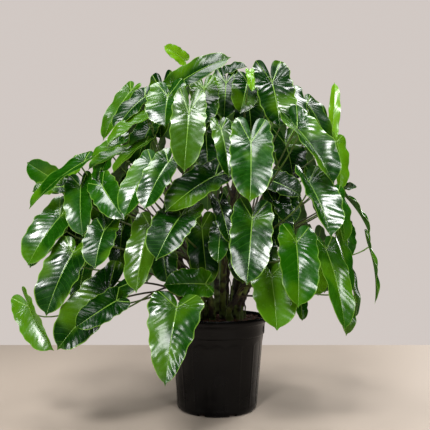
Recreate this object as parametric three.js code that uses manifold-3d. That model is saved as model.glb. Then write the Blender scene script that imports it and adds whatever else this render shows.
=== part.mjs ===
// A potted philodendron: long glossy heart-based leaves on long leaf stalks, in a black nursery pot.
// Millimetres, +Z up, front towards -Y. The origin is the middle of the pot's foot, on the ground.

import * as THREE from 'three';
import Module from 'manifold-3d';

const wasm = await Module();
wasm.setup();

const gap = 0.3; // between pieces that touch
const slack = 1; // how far off a height or a radius still counts as on it

const pot = {
  height: 228,
  rimRadius: 127,
  footRadius: 101,
  wallRadius: 118.6, // the wall's top, where the first ledge starts
  wallTop: 183,
  wall: 2.4,
  floor: 3,
  // The rounded foot: steps in from the wall's line, each with its height.
  footSteps: [[9, 0], [3, 1.5], [0, 7]],
  ledge: { out: 2.9, rise: 4 }, // the step out above the wall
  collar: { out: 4.6, top: 206 }, // the plain band between the ledge and the rim
  rim: { foot: 213, edge: 2.5, soften: 2, lip: 4.5 }, // the rolled rim
  innerFoot: { rise: 8, in: 4 }, // the rounded corner between the wall and the floor inside
  flutes: 9,
  fluteDepth: 1.4,
  fluteFrom: 30,
  fluteTo: 165,
  segments: 36,
};

const drain = { count: 8, width: 18, height: 7, from: 86, to: 112 };

const mix = {
  top: 219,
  rings: [42, 86],
  rise: 4, // the mix is heaped a little towards the stems
  edgeDrop: 3, // and lower along the wall
  edgeOut: 0.6, // the collar leans out by this up to the mix's edge
  bump: 2.5,
  bumpTurns: [0.09, 0.11], // how fast the bumps come and go, in radians a millimetre
  bumpStart: 1,
  segments: 18, // half of the pot's, so that its corners lie at corners of the wall
};

const cane = {
  radius: 9,
  tipRadius: 5.5,
  sides: 6,
  steps: 6,
  sunk: 60, // how deep it stands in the mix
  upright: 30, // how far it rises from the mix before it leans
  elbow: [0.45, 0.55], // where it bends over, as a share of the way out and of the way up
  hole: 0.45, // the room round it in the mix
  leavesFrom: 0.5, // the share of its length with no leaves
};

const stalk = {
  radius: 2.9,
  tipRadius: 1.2,
  sides: 3,
  steps: 3,
  leave: { reach: 0.36, out: 0.45, up: 0.85 }, // how far and which way it leaves the cane
  arrive: { reach: 0.34, face: 0.5, up: 0.6, along: 0.25 }, // and comes to the blade
  joins: 0.07, // the place along the midrib that it is grown to
  sunk: 0.4, // how deep its end is in the blade
};

const blade = {
  thick: 1,
  fold: 14, // degrees that each half stands up from the midrib
  bend: 0.06, // the midrib's arch, as a share of its length
  wave: 2.4, // how far the margin swings to each side
  waves: 2.3, // swings along the margin
  phase: [0.11, 0.07], // how the swings start, in radians a millimetre of the heart's x and z
  // Half of the outline, from the end of a back lobe round to the tip: the place along the midrib,
  // as a share from the heart (0) to the tip (1), and the place across, as a share of half the width.
  margin: [
    [-0.47, 0.5], [-0.37, 0.84], [-0.1, 0.98], [0.22, 1], [0.5, 0.95], [0.74, 0.76],
    [0.92, 0.4], [1, 0],
  ],
  // The line that each half grows from: the lobe's inner edge down to the heart, then the midrib.
  root: [
    [-0.47, 0.5], [-0.4, 0.22], [-0.16, 0.06], [0, 0], [0.36, 0], [0.62, 0],
    [0.84, 0], [1, 0],
  ],
  plainCorners: [0, 1, 3, 4, 6, 7], // the corners kept by a leaf that hangs behind others
};

// A leaf: its heart (where the stalk meets the blade), its tip, the width, and the way its upper
// face looks, in degrees round the plant: 0 is the front, -90 the left and 90 the right.
// The rise turns the face up, in degrees. The lobe says how long the back lobes are against the
// usual ones, and the taper how much narrower than usual the blade is towards its tip. The fold
// may be the leaf's own. A plain leaf hangs behind others and has a coarser outline.
function leaf(heart, tip, width, look, own = {}) {
  return { heart, tip, width, look, rise: 20, lobe: 1, taper: 0, fold: blade.fold, plain: false, ...own };
}

// The side away from the front: its leaves fill a dome round the axis.
const hidden = {
  count: 24,
  spread: 90, // degrees to each side of the back
  start: 0.5,
  low: 375, // the lowest and the highest heart
  high: 845,
  domeHeight: 560,
  radius: 305,
  depth: 12, // how far hearts stand in and out of the dome
  swing: [30, 70], // how far a tip stands out from its heart, low and high on the dome
  hang: [135, 105], // how far a tip hangs below its heart
  aside: 26, // how far a tip stands aside
  asideTurn: 2.4, // radians from one leaf to the next
  width: 86,
  widthStep: 5,
};

// Leafy stems: where the cane leaves the mix, where it ends, and its leaves from the lowest up.
const leafyStems = {
  crown_left: {
    foot: [-18, -16], top: [-55, -95, 560],
    leaves: [
      leaf([-60, -268, 681], [-66, -328, 546], 77, 5, { fold: 22 }),
      leaf([-110, -212, 735], [-113, -240, 660], 92, -15, { lobe: 1.2 }),
      leaf([-101, -165, 774], [32, -190, 835], 66, 0, { rise: 25, lobe: 0.4 }),
      leaf([-145, -14, 808], [-144, -34, 678], 86, -30, { plain: true }),
      leaf([-84, -70, 876], [-133, -90, 904], 37, 0, { rise: 5, fold: 18, lobe: 0.35 }),
    ],
  },
  upper_left: {
    foot: [-40, 6], top: [-105, -35, 500],
    leaves: [
      leaf([-276, -5, 653], [-308, -20, 560], 78, -40, { plain: true }),
      leaf([-167, -150, 645], [-235, -190, 567], 46, -40, { rise: 25, lobe: 0.5 }),
      leaf([-224, -90, 638], [-310, -115, 587], 59, -30, { rise: 45, lobe: 0.4 }),
      leaf([-171, -50, 705], [-198, -80, 597], 86, -30, { plain: true }),
      leaf([-158, -150, 707], [-250, -185, 628], 56, -35, { rise: 28, fold: 24, lobe: 0.5 }),
      leaf([-260, -10, 675], [-325, -20, 621], 62, -35, { rise: 30, plain: true }),
      leaf([-176, -110, 767], [-240, -150, 671], 65, -25, { lobe: 0.6 }),
      leaf([-224, -30, 808], [-288, -60, 670], 54, -20, { lobe: 0.4 }),
    ],
  },
  far_left: {
    foot: [-52, -16], top: [-115, -55, 430],
    leaves: [
      leaf([-237, -60, 440], [-230, -90, 337], 65, -20, { plain: true }),
      leaf([-361, -160, 470], [-413, -210, 360], 87, -10, { lobe: 0.85 }),
      leaf([-385, -90, 453], [-442, -120, 352], 83, -25, { plain: true }),
      leaf([-352, -60, 485], [-334, -90, 371], 80, -25, { plain: true }),
      leaf([-302, -55, 551], [-273, -68, 452], 73, -20, { plain: true }),
      leaf([-317, -150, 541], [-297, -200, 423], 72, -10, { lobe: 0.6, fold: 22 }),
      leaf([-215, -35, 561], [-238, -55, 460], 76, -30, { plain: true }),
      leaf([-308, -160, 598], [-427, -175, 487], 62, -25, { rise: 45, lobe: 0.4 }),
      leaf([-380, -90, 549], [-447, -105, 535], 49, -30, { plain: true }),
      leaf([-397, -58, 565], [-471, -80, 612], 65, -30, { rise: 10, lobe: 0.4 }),
      leaf([-372, 10, 613], [-399, 0, 537], 71, -40, { plain: true }),
    ],
  },
  mid_left: {
    foot: [-32, -42], top: [-75, -110, 440],
    leaves: [
      leaf([-131, -120, 418], [-114, -140, 316], 71, -10, { plain: true }),
      leaf([-245, -225, 435], [-245, -300, 356], 71, -5, { lobe: 0.9 }),
      leaf([-257, -190, 536], [-197, -250, 458], 69, -15, { lobe: 0.7 }),
      leaf([-139, -250, 579], [-188, -300, 459], 72, -20, { lobe: 0.5 }),
      leaf([-102, -280, 574], [-143, -335, 472], 68, -15, { lobe: 0.7 }),
    ],
  },
  low_left: {
    foot: [-58, -38], top: [-110, -55, 300],
    leaves: [
      leaf([-430, -150, 265], [-358, -190, 174], 74, -40, { fold: 34, lobe: 0.8 }),
      leaf([-234, -225, 303], [-328, -265, 190], 102, -10, { lobe: 0.95 }),
      leaf([-314, -120, 352], [-317, -140, 273], 62, -20, { plain: true }),
      leaf([-210, -260, 289], [-280, -310, 241], 59, 10, { lobe: 0.5 }),
      leaf([-318, -200, 388], [-359, -245, 256], 93, -10, { lobe: 0.5 }),
    ],
  },
  front_left: {
    foot: [-12, -60], top: [-35, -105, 380],
    leaves: [
      leaf([-79, -325, 282], [-96, -375, 146], 114, -5, { fold: 18, lobe: 0.4, taper: 0.55 }),
      leaf([-26, -248, 323], [-111, -275, 323], 64, -5, { lobe: 0.4 }),
      leaf([-140, -265, 444], [-159, -320, 310], 73, -20, { lobe: 0.5 }),
      leaf([-74, -295, 463], [-114, -380, 374], 87, -10, { lobe: 0.8 }),
      leaf([-35, -150, 445], [-21, -185, 312], 76, -5, { lobe: 0.6, plain: true }),
    ],
  },
  front_centre: {
    foot: [14, -38], top: [20, -95, 470],
    leaves: [
      leaf([68, -325, 455], [53, -385, 330], 83, 0, { lobe: 0.7 }),
      leaf([8, -207, 438], [1, -250, 367], 48, -10, { lobe: 0.6 }),
      leaf([54, -135, 437], [59, -150, 317], 75, 0, { plain: true }),
      leaf([4, -225, 496], [26, -265, 407], 41, 10, { lobe: 0.5 }),
      leaf([-5, -245, 552], [-104, -318, 469], 79, 5, { rise: 35, lobe: 0.75 }),
      leaf([69, -290, 614], [62, -350, 484], 90, 3),
      leaf([8, -245, 652], [24, -285, 542], 51, 15, { lobe: 0.6 }),
    ],
  },
  crown_right: {
    foot: [20, -6], top: [45, -60, 580],
    leaves: [
      leaf([-28, -60, 695], [-22, -80, 592], 85, -5, { plain: true }),
      leaf([84, -20, 772], [90, -40, 643], 93, 5, { plain: true }),
      leaf([174, -180, 755], [176, -230, 665], 50, 25, { lobe: 0.6 }),
      leaf([123, -208, 768], [136, -238, 658], 90, 8, { lobe: 1.15 }),
      leaf([-32, -105, 786], [-28, -150, 687], 72, 5, { plain: true }),
      leaf([75, -88, 810], [55, -126, 721], 73, 10, { lobe: 0.6 }),
      leaf([23, -60, 817], [17, -100, 713], 75, 0, { plain: true }),
      leaf([77, -158, 810], [80, -185, 755], 23, 10, { lobe: 0.5 }),
      leaf([14, -10, 856], [79, -30, 873], 73, 0, { rise: 50, lobe: 0.4 }),
    ],
  },
  upper_right: {
    foot: [46, 6], top: [100, -45, 500],
    leaves: [
      leaf([185, -300, 530], [215, -356, 417], 87, 20, { lobe: 0.6, fold: 32 }),
      leaf([156, -108, 525], [173, -136, 453], 67, 5, { plain: true }),
      leaf([140, -125, 501], [148, -145, 395], 71, 10, { plain: true }),
      leaf([249, -70, 559], [262, -95, 455], 74, 20, { plain: true }),
      leaf([132, -110, 561], [197, -140, 521], 67, 10, { lobe: 0.5 }),
      leaf([179, -25, 667], [194, -43, 568], 93, 15, { plain: true }),
      leaf([293, -100, 658], [288, -130, 534], 53, 35, { lobe: 0.4 }),
      leaf([164, -290, 643], [225, -345, 519], 81, 20, { lobe: 0.8, fold: 32 }),
      leaf([256, -60, 729], [283, -80, 622], 65, 30, { plain: true }),
      leaf([212, -150, 738], [250, -190, 622], 65, 35, { lobe: 0.5 }),
      leaf([281, -95, 679], [293, -85, 813], 32, 10, { fold: 20, lobe: 0.4 }),
    ],
  },
  far_right: {
    foot: [60, -12], top: [125, 5, 400],
    leaves: [
      leaf([323, -50, 355], [337, -70, 227], 30, 45, { fold: 45, lobe: 0.5 }),
      leaf([389, -10, 413], [402, -20, 258], 23, 60, { fold: 40, lobe: 0.5 }),
      leaf([334, -5, 452], [335, -12, 374], 55, 30, { lobe: 0.6 }),
      leaf([316, -40, 540], [381, -60, 432], 43, 70, { fold: 30, lobe: 0.4 }),
      leaf([310, -22, 552], [361, -28, 557], 26, 40, { lobe: 0.4, fold: 30, plain: true }),
    ],
  },
  front_right: {
    foot: [50, -42], top: [105, -75, 380],
    leaves: [
      leaf([279, -170, 314], [281, -198, 207], 52, 30, { lobe: 0.5 }),
      leaf([232, -105, 376], [236, -125, 287], 55, 20, { plain: true }),
      leaf([230, -245, 394], [254, -295, 233], 62, 20, { lobe: 0.4 }),
      leaf([266, -195, 423], [280, -222, 292], 53, 50, { lobe: 0.5 }),
      leaf([263, -205, 516], [272, -230, 409], 49, 40, { lobe: 0.5, plain: true }),
    ],
  },
  low_right: {
    foot: [30, -66], top: [70, -105, 330],
    leaves: [
      leaf([183, -175, 292], [186, -195, 239], 32, 20, { plain: true }),
      leaf([110, -270, 341], [115, -325, 238], 100, 5, { fold: 24, lobe: 0.5 }),
      leaf([105, -180, 395], [109, -200, 320], 59, 10, { plain: true }),
      leaf([158, -300, 408], [152, -350, 285], 83, 10, { lobe: 0.65 }),
    ],
  },
  back_left: { foot: [-38, 38], top: [-95, 80, 480], leaves: leavesTowards(243) },
  back: { foot: [0, 52], top: [0, 115, 520], leaves: leavesTowards(180) },
  back_right: { foot: [38, 36], top: [90, 75, 480], leaves: leavesTowards(117) },
};

// The leaves of the hidden side climb its dome from the lowest up, and each stands round from the
// last by the golden ratio of the side's width, so that they spread evenly with no rows.
function hiddenLeaves() {
  const golden = (Math.sqrt(5) - 1) / 2;
  return Array.from({ length: hidden.count }, (_, i) => {
    const share = (i + 0.5) / hidden.count;
    const look = 180 + hidden.spread * (2 * ((hidden.start + i * golden) % 1) - 1);
    const turn = THREE.MathUtils.degToRad(look);
    const away = new THREE.Vector3(Math.sin(turn), -Math.cos(turn), 0);
    const aside = new THREE.Vector3(-away.y, away.x, 0);
    const z = THREE.MathUtils.lerp(hidden.low, hidden.high, share);
    const dome = Math.sqrt(1 - ((z - hidden.low) / hidden.domeHeight) ** 2);
    const out = hidden.radius * dome + hidden.depth * ((i % 3) - 1);
    const heart = away.clone().multiplyScalar(out).setZ(z);
    const swing = THREE.MathUtils.lerp(...hidden.swing, share);
    const hang = THREE.MathUtils.lerp(...hidden.hang, share);
    const tip = heart.clone().addScaledVector(away, swing).setZ(z - hang);
    tip.addScaledVector(aside, hidden.aside * Math.sin(hidden.asideTurn * i));
    const width = hidden.width + hidden.widthStep * ((2 * i) % 3);
    return leaf(heart.toArray(), tip.toArray(), width, look, { plain: true });
  });
}

// The hidden leaves that grow from the cane on one side of the back.
function leavesTowards(side) {
  const third = hidden.spread / 3;
  return hiddenLeaves().filter((one) => Math.abs(one.look - side) < third);
}

// Solids

function solid(points, triangles) {
  const mesh = new wasm.Mesh({
    numProp: 3,
    vertProperties: new Float32Array(points.flatMap((p) => [p.x, p.y, p.z])),
    triVerts: new Uint32Array(triangles.flat()),
  });
  return new wasm.Manifold(mesh);
}

// A lathe or a box as a solid: its corners are merged by place, and flat triangles are left out.
function solidOf(geometry) {
  const place = geometry.getAttribute('position');
  const order = geometry.getIndex();
  const seen = new Map();
  const points = [];
  const corner = (i) => {
    const p = new THREE.Vector3().fromBufferAttribute(place, i);
    const key = [p.x, p.y, p.z].map((c) => Math.round(c * 1000)).join();
    if (!seen.has(key)) {
      seen.set(key, points.length);
      points.push(p);
    }
    return seen.get(key);
  };
  const triangles = [];
  for (let i = 0; i < order.count; i += 3) {
    const [a, b, c] = [0, 1, 2].map((k) => corner(order.getX(i + k)));
    if (a !== b && b !== c && c !== a) triangles.push([a, b, c]);
  }
  return solid(points, triangles);
}

function geometryOf(manifold) {
  const mesh = manifold.getMesh();
  const geometry = new THREE.BufferGeometry();
  geometry.setAttribute('position', new THREE.BufferAttribute(new Float32Array(mesh.vertProperties), 3));
  geometry.setIndex(new THREE.BufferAttribute(new Uint32Array(mesh.triVerts), 1));
  geometry.computeVertexNormals();
  return geometry;
}

// A tube of flat sides along a curve, its radius given along the way, with a flat cap at each end.
function tube(curve, steps, sides, radiusAt) {
  const frames = curve.computeFrenetFrames(steps, false);
  const points = [];
  const triangles = [];
  for (let i = 0; i <= steps; i += 1) {
    const middle = curve.getPointAt(i / steps);
    for (let k = 0; k < sides; k += 1) {
      const turn = (2 * Math.PI * k) / sides;
      const across = frames.normals[i].clone().multiplyScalar(Math.cos(turn));
      across.addScaledVector(frames.binormals[i], Math.sin(turn));
      points.push(middle.clone().addScaledVector(across, radiusAt(i / steps)));
    }
  }
  for (let i = 0; i < steps; i += 1) {
    for (let k = 0; k < sides; k += 1) {
      const a = i * sides + k;
      const b = i * sides + ((k + 1) % sides);
      triangles.push([a, b, b + sides], [a, b + sides, a + sides]);
    }
  }
  const last = steps * sides;
  for (let k = 1; k < sides - 1; k += 1) {
    triangles.push([0, k + 1, k], [last, last + k, last + k + 1]);
  }
  return solid(points, triangles);
}

// A thin sheet of even thickness from one layer of triangles: both faces are split alike.
function sheet(points, triangles, thick) {
  const normals = points.map(() => new THREE.Vector3());
  for (const [a, b, c] of triangles) {
    const ab = points[b].clone().sub(points[a]);
    const normal = ab.cross(points[c].clone().sub(points[a]));
    for (const i of [a, b, c]) normals[i].add(normal);
  }
  normals.forEach((n) => n.setLength(thick / 2));
  const upper = points.map((p, i) => p.clone().add(normals[i]));
  const lower = points.map((p, i) => p.clone().sub(normals[i]));
  const count = points.length;
  const faces = [];
  const edges = new Set();
  for (const [a, b, c] of triangles) {
    faces.push([a, b, c], [a + count, c + count, b + count]);
    for (const [i, j] of [[a, b], [b, c], [c, a]]) edges.add(`${i},${j}`);
  }
  for (const edge of edges) {
    const [i, j] = edge.split(',').map(Number);
    if (!edges.has(`${j},${i}`)) faces.push([i, i + count, j], [j, i + count, j + count]);
  }
  return solid([...upper, ...lower], faces);
}

// Leaves

const up = new THREE.Vector3(0, 0, 1);

// A blade's own directions: along its midrib, out of its upper face and across.
function bladeFrame(one) {
  const heart = new THREE.Vector3(...one.heart);
  const along = new THREE.Vector3(...one.tip).sub(heart);
  const length = along.length();
  along.normalize();
  const turn = THREE.MathUtils.degToRad(one.look);
  const rise = THREE.MathUtils.degToRad(one.rise);
  const face = new THREE.Vector3(Math.sin(turn), -Math.cos(turn), 0).multiplyScalar(Math.cos(rise));
  face.addScaledVector(up, Math.sin(rise));
  face.addScaledVector(along, -face.dot(along)).normalize();
  const across = new THREE.Vector3().crossVectors(face, along);
  return { heart, along, face, across, length };
}

// A point of the blade: the midrib is an arch that runs on straight under the lobes, each half
// stands up from it by the fold, and the margin swings to and fro along the way.
function bladePoint(one, frame, [place, across], side) {
  const along = place < 0 ? place * one.lobe : place;
  const arch = blade.bend * frame.length * (along < 0 ? 2 * along : 4 * along * (1 - along));
  const fold = THREE.MathUtils.degToRad(one.fold);
  const out = ((across * one.width) / 2) * (1 - one.taper * Math.max(along, 0));
  const phase = one.heart[0] * blade.phase[0] + one.heart[2] * blade.phase[1] + side;
  const swing = blade.wave * across * across * Math.sin(2 * Math.PI * blade.waves * along + phase);
  return frame.heart.clone()
    .addScaledVector(frame.along, along * frame.length)
    .addScaledVector(frame.across, side * out * Math.cos(fold))
    .addScaledVector(frame.face, arch + out * Math.sin(fold) + swing);
}

function bladeSolid(one, frame) {
  const points = [];
  const index = new Map();
  const corner = (place, side) => {
    const key = `${place[0]},${place[1] * side}`;
    if (!index.has(key)) {
      index.set(key, points.length);
      points.push(bladePoint(one, frame, place, side));
    }
    return index.get(key);
  };
  const kept = (line) => (one.plain ? blade.plainCorners.map((k) => line[k]) : line);
  const [root, margin] = [kept(blade.root), kept(blade.margin)];
  const triangles = [];
  for (const side of [-1, 1]) {
    for (let k = 0; k < margin.length - 1; k += 1) {
      const [a, b] = [root[k], root[k + 1]].map((p) => corner(p, p[1] ? side : 1));
      const [c, d] = [margin[k], margin[k + 1]].map((p) => corner(p, p[1] ? side : 1));
      const pair = [[a, c, d], [a, d, b]].filter(([i, j, l]) => i !== j && j !== l && l !== i);
      triangles.push(...pair.map(([i, j, l]) => (side > 0 ? [i, j, l] : [i, l, j])));
    }
  }
  return sheet(points, triangles, blade.thick);
}

// A leaf stalk leaves the cane outwards and up, and comes to the midrib from behind the blade.
function stalkSolid(one, frame, foot) {
  const reach = foot.distanceTo(frame.heart);
  const leave = frame.heart.clone().sub(foot).setZ(0).setLength(stalk.leave.out);
  leave.addScaledVector(up, stalk.leave.up).normalize();
  const arrive = frame.face.clone().multiplyScalar(stalk.arrive.face);
  arrive.addScaledVector(up, stalk.arrive.up);
  arrive.addScaledVector(frame.along, stalk.arrive.along).normalize();
  const end = bladePoint(one, frame, [stalk.joins, 0], 1);
  end.addScaledVector(frame.face, -stalk.sunk);
  const bow = new THREE.CubicBezierCurve3(
    foot,
    foot.clone().addScaledVector(leave, reach * stalk.leave.reach),
    end.clone().addScaledVector(arrive, -reach * stalk.arrive.reach),
    end,
  );
  const radiusAt = (t) => THREE.MathUtils.lerp(stalk.radius, stalk.tipRadius, t);
  return tube(bow, stalk.steps, stalk.sides, radiusAt);
}

// Where a leaf's stalk grows from its cane: the upper half carries them at even steps.
function footAt(stem, curve, number) {
  const share = (number + 0.5) / stem.leaves.length;
  return curve.getPointAt(THREE.MathUtils.lerp(cane.leavesFrom, 1, share));
}

// A leafy stem: a cane that stands in the mix, and its leaves grown to it.
function leafyStemSolid(stem) {
  const { curve, body } = caneSolid(stem);
  let grown = body;
  stem.leaves.forEach((one, i) => {
    const frame = bladeFrame(one);
    grown = grown.add(bladeSolid(one, frame)).add(stalkSolid(one, frame, footAt(stem, curve, i)));
  });
  return grown;
}

// Canes

function caneCurve(stem) {
  const [x, y] = stem.foot;
  const [out, rise] = cane.elbow;
  const top = new THREE.Vector3(...stem.top);
  const elbowHeight = THREE.MathUtils.lerp(mix.top, top.z, rise);
  return new THREE.CatmullRomCurve3([
    new THREE.Vector3(x, y, mix.top - cane.sunk),
    new THREE.Vector3(x, y, mix.top),
    new THREE.Vector3(x, y, mix.top + cane.upright),
    new THREE.Vector3(x, y, mix.top).lerp(top, out).setZ(elbowHeight),
    top,
  ]);
}

function caneSolid(stem) {
  const curve = caneCurve(stem);
  const radiusAt = (t) => THREE.MathUtils.lerp(cane.radius, cane.tipRadius, t);
  return { curve, body: tube(curve, cane.steps, cane.sides, radiusAt) };
}

// Pot

// The wall's radius at a height, before its flutes.
function wallAt(z) {
  return pot.footRadius + ((pot.wallRadius - pot.footRadius) * z) / pot.wallTop;
}

function potProfile() {
  const { wall, ledge, collar, rim, innerFoot } = pot;
  const outside = [
    [0, 0],
    ...pot.footSteps.map(([step, z]) => [wallAt(z) - step, z]),
    [wallAt(pot.fluteFrom), pot.fluteFrom],
    [wallAt(pot.fluteTo), pot.fluteTo],
    [pot.wallRadius, pot.wallTop],
    [pot.wallRadius + ledge.out, pot.wallTop + ledge.rise],
    [pot.wallRadius + collar.out, collar.top],
    [pot.rimRadius, rim.foot],
    [pot.rimRadius, pot.height - rim.edge],
    [pot.rimRadius - rim.soften, pot.height],
  ];
  const inside = [
    [pot.rimRadius - rim.lip, pot.height],
    [pot.wallRadius + collar.out - wall, collar.top],
    [pot.wallRadius - wall, pot.wallTop],
    [wallAt(innerFoot.rise) - wall, innerFoot.rise],
    [wallAt(0) - wall - innerFoot.in, pot.floor],
    [0, pot.floor],
  ];
  return { outside, inside };
}

function lathe(profile, segments) {
  return new THREE.LatheGeometry(profile.map(([r, z]) => new THREE.Vector2(r, z)), segments)
    .rotateX(Math.PI / 2);
}

function potSolid() {
  const { outside, inside } = potProfile();
  const geometry = lathe([...outside, ...inside], pot.segments);
  const place = geometry.getAttribute('position');
  for (let i = 0; i < place.count; i += 1) {
    const [x, y, z] = [place.getX(i), place.getY(i), place.getZ(i)];
    const radius = Math.hypot(x, y);
    const outer = radius > wallAt(z) - slack;
    if (outer && z > pot.fluteFrom - slack && z < pot.fluteTo + slack) {
      const fluteTurn = Math.atan2(y, x) * pot.flutes;
      const shrink = 1 - (pot.fluteDepth * 0.5 * (1 - Math.cos(fluteTurn))) / radius;
      place.setXY(i, x * shrink, y * shrink);
    }
  }
  let shell = solidOf(geometry);
  for (let i = 0; i < drain.count; i += 1) {
    const notch = new THREE.BoxGeometry(drain.to - drain.from, drain.width, 2 * drain.height);
    notch.translate((drain.from + drain.to) / 2, 0, 0);
    notch.rotateZ((2 * Math.PI * (i + 0.5)) / drain.count);
    shell = shell.subtract(solidOf(notch));
  }
  return shell;
}

// Potting mix

// The plain hole that a cane stands in: a straight tube round its upright foot.
function holeSolid(stem) {
  const [x, y] = stem.foot;
  const below = new THREE.Vector3(x, y, mix.top - cane.sunk - gap);
  const above = new THREE.Vector3(x, y, mix.top + cane.upright);
  return tube(new THREE.LineCurve3(below, above), 1, cane.sides, () => cane.radius + cane.hole);
}

function mixSolid() {
  const { inside } = potProfile();
  const [, collar, wallTop, wallFoot, corner] = inside;
  const side = [wallFoot, wallTop, collar].map(([r, z]) => [r - gap, z]);
  const bed = [[0, pot.floor + gap], [corner[0] - gap, pot.floor + gap]];
  const edge = [collar[0] + mix.edgeOut - gap, mix.top - mix.edgeDrop];
  const heap = mix.rings.map((r) => [r, mix.top + mix.rise * (1 - r / pot.wallRadius)]).reverse();
  const geometry = lathe([...bed, ...side, edge, ...heap, [0, mix.top + mix.rise]], mix.segments);
  const place = geometry.getAttribute('position');
  for (let i = 0; i < place.count; i += 1) {
    const [x, y, z] = [place.getX(i), place.getY(i), place.getZ(i)];
    const loose = z > mix.top - slack && Math.hypot(x, y) > slack;
    const wave = Math.sin(x * mix.bumpTurns[0] + mix.bumpStart) * Math.cos(y * mix.bumpTurns[1]);
    if (loose) place.setZ(i, z + mix.bump * wave);
  }
  let bulk = solidOf(geometry);
  for (const stem of Object.values(leafyStems)) {
    bulk = bulk.subtract(holeSolid(stem));
  }
  return bulk;
}

// Assembly

const finishes = {
  pot: { color: 0x17181a, roughness: 0.42, metalness: 0 },
  mix: { color: 0x3a2418, roughness: 0.95, metalness: 0 },
  leaf: { color: 0x2f7d1c, roughness: 0.3, metalness: 0 },
};

const plant = new THREE.Group();

function addPart(name, body, finish) {
  const mesh = new THREE.Mesh(geometryOf(body), new THREE.MeshStandardMaterial(finishes[finish]));
  mesh.name = name;
  plant.add(mesh);
}

addPart('pot', potSolid(), 'pot');
addPart('potting_mix', mixSolid(), 'mix');
for (const [name, stem] of Object.entries(leafyStems)) {
  addPart(`leafy_stem_${name}`, leafyStemSolid(stem), 'leaf');
}

export default plant;
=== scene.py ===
import functools
import math

import bmesh
import bpy
import numpy as np
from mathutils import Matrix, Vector


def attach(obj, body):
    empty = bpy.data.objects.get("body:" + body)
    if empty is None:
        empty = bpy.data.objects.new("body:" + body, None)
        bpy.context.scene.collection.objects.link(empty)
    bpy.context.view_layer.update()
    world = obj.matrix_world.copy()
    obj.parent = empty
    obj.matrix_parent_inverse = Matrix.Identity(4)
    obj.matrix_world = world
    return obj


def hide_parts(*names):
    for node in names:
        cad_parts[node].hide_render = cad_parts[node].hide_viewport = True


# A potted philodendron: long glossy heart-based leaves on long stalks, in a black nursery pot.
# Metres, +Z up, the front towards -Y, the origin in the middle of the pot's foot.

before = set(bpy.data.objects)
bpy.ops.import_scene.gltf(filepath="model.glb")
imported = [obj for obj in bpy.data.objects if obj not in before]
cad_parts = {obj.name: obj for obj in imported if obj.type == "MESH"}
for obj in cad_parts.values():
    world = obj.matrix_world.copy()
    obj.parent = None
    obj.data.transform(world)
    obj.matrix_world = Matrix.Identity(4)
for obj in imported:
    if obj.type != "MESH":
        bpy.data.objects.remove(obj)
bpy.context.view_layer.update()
print("frame loaded:", len(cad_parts), "nodes")

rng = np.random.default_rng(11)


# Materials

def hexToLinear(text):
    # each channel c becomes c / 12.92 up to 0.04045, and ((c + 0.055) / 1.055)^2.4 above
    channels = np.array([int(text[i:i + 2], 16) for i in (1, 3, 5)]) / 255
    linear = np.where(channels <= 0.04045, channels / 12.92, ((channels + 0.055) / 1.055) ** 2.4)
    return (*(float(c) for c in linear), 1.0)


def fillInputs(node, inputs):
    # gives each input, by name or by place, a socket to read, a number or a hex colour
    for place, value in inputs.items() if isinstance(inputs, dict) else enumerate(inputs):
        if isinstance(value, bpy.types.NodeSocket):
            node.id_data.links.new(value, node.inputs[place])
        else:
            node.inputs[place].default_value = hexToLinear(value) if isinstance(value, str) else value


def addNode(tree, kind, inputs=(), output=0, **settings):
    # adds a node with its own settings, fills its inputs, and gives one of its outputs
    node = tree.nodes.new("ShaderNode" + kind)
    for name, value in settings.items():
        setattr(node, name, value)
    fillInputs(node, inputs)
    return node.outputs[output]


softStep = {"interpolation_type": "SMOOTHSTEP"}  # for Map Range: source, low, high, start, end


def newMaterial(name):
    # the material, the function that adds to it, its shader, and the piece's own coordinates
    material = bpy.data.materials.new(name)
    material.use_nodes = True
    add = functools.partial(addNode, material.node_tree)
    return material, add, material.node_tree.nodes["Principled BSDF"], add("TexCoord", output="Object")


def paint(add, colour, *layers):
    # lays one colour after another over the first, each by its own share from 0 to 1
    for share, layer in layers:
        colour = add("Mix", {0: share, 6: colour, 7: layer}, 2, data_type="RGBA")
    return colour


leafLook = {
    "mature": "#1a5100", "deep": "#042800", "youngAndLitThrough": "#74ad0e", "midrib": "#79a13d", "vein": "#42751c",
    "edge": "#7faa3a", "underside": "#44702a",
    "midribShare": 0.9, "veinShare": 0.30, "edgeShare": 0.65,  # how much of these colours shows
    "midribHalfWidth": 0.0013,  # metres, at the heart
    "midribTip": 0.35,  # how much of that is left at the tip
    "lobeRib": 1.15,  # how many times thinner the rib of a lobe is
    "veinHalfWidth": 0.06,  # as a share of the step from one side vein to the next
    "crease": 0.00012,  # how far a side vein is sunk between two swellings, on the average leaf
    "lobeCrease": 0.0006,  # and round the heart
    "ridge": 0.0003,  # how far the midrib stands out
    "pucker": 0.00022,  # how deep the fine dents are
    # scale and detail of the patches of colour, one every 18 mm, of the yellower patches, which are
    # partly painted light shining through the blade, one every 77 mm, and of the fine dents, one every 7
    # mm
    "noises": ((55, 3), (13, 1), (150, 2)),
    "freshAndLitThrough": (0.50, 0.72, 0, 0.25),  # a yellower patch, partly the blade's own colour and partly painted light shining through it, goes so far to the young green
    "shade": (0.18, 1, 0, 1), "mottled": 0.7,  # from deep to mature by the tone, which carries painted shade, and the patches
    "pale": (0.2, 0.55),  # how much more of the underside's colour a patch has, and the least of it
    "ribEdge": (0.45, 1.25, 1, 0), "edgeFrom": 0.94,  # where a rib fades out, and where the edge begins
    "heart": (-0.02, 0.14), "flatter": (0.7, 1, 1, 0.3),  # where the creases change, and die away
    "roughness": (0.19, 0.29), "underRoughness": (0.46, 0.56),
    "gloss": 0.5, "coat": 0.35, "coatRoughness": 0.18,
    "dulled": 0.55,  # how much of its gloss a leaf inside the plant or a dull leaf has lost; its coat is all gone
}


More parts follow.
